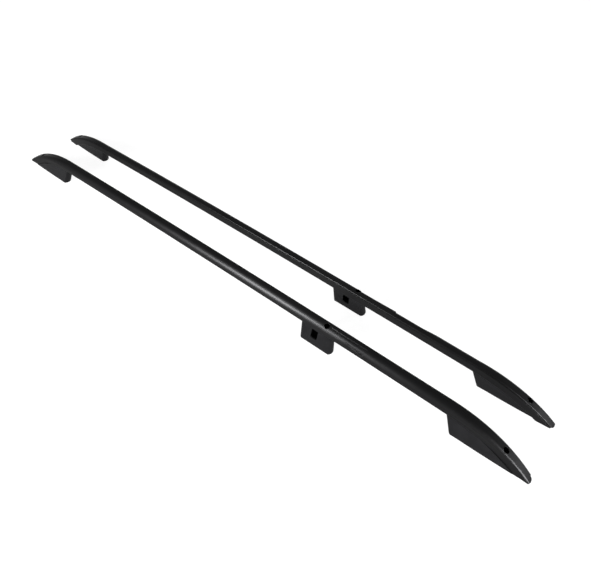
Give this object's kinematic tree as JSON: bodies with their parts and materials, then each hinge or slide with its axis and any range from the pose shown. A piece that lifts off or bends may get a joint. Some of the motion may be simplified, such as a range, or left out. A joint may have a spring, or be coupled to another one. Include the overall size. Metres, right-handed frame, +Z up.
{
  "type": "roof side rail pair",
  "caption": "Two mirrored roof side rails, hollow black profiles with bent-down ends on moulded feet, bolted along a vehicle roof to carry cross bars",
  "frame": {"origin": "on the roof plane under the pads, midway between the rails and midway along them", "axes": "+X forward along the rails, +Y to the left, +Z up"},
  "size_m": [1.71, 0.1752, 0.083],
  "materials": {
    "rail": "satin black powder coat on aluminium",
    "foot": "fine-grained black moulding",
    "pad": "matte black rubber",
    "sleeve": "zinc plated, turned",
    "screw": "zinc plated"
  },
  "bodies": {
    "root": {"left_rail": "rail", "left_front_foot": "foot", "left_middle_foot": "foot", "left_rear_foot": "foot", "left_front_pad": "pad", "left_middle_pad": "pad", "left_rear_pad": "pad", "left_end_sleeves": "sleeve", "left_middle_sleeve": "sleeve", "left_foot_screws": "screw", "right_rail": "rail", "right_front_foot": "foot", "right_middle_foot": "foot", "right_rear_foot": "foot", "right_front_pad": "pad", "right_middle_pad": "pad", "right_rear_pad": "pad", "right_end_sleeves": "sleeve", "right_middle_sleeve": "sleeve", "right_foot_screws": "screw"}
  },
  "joints": []
}
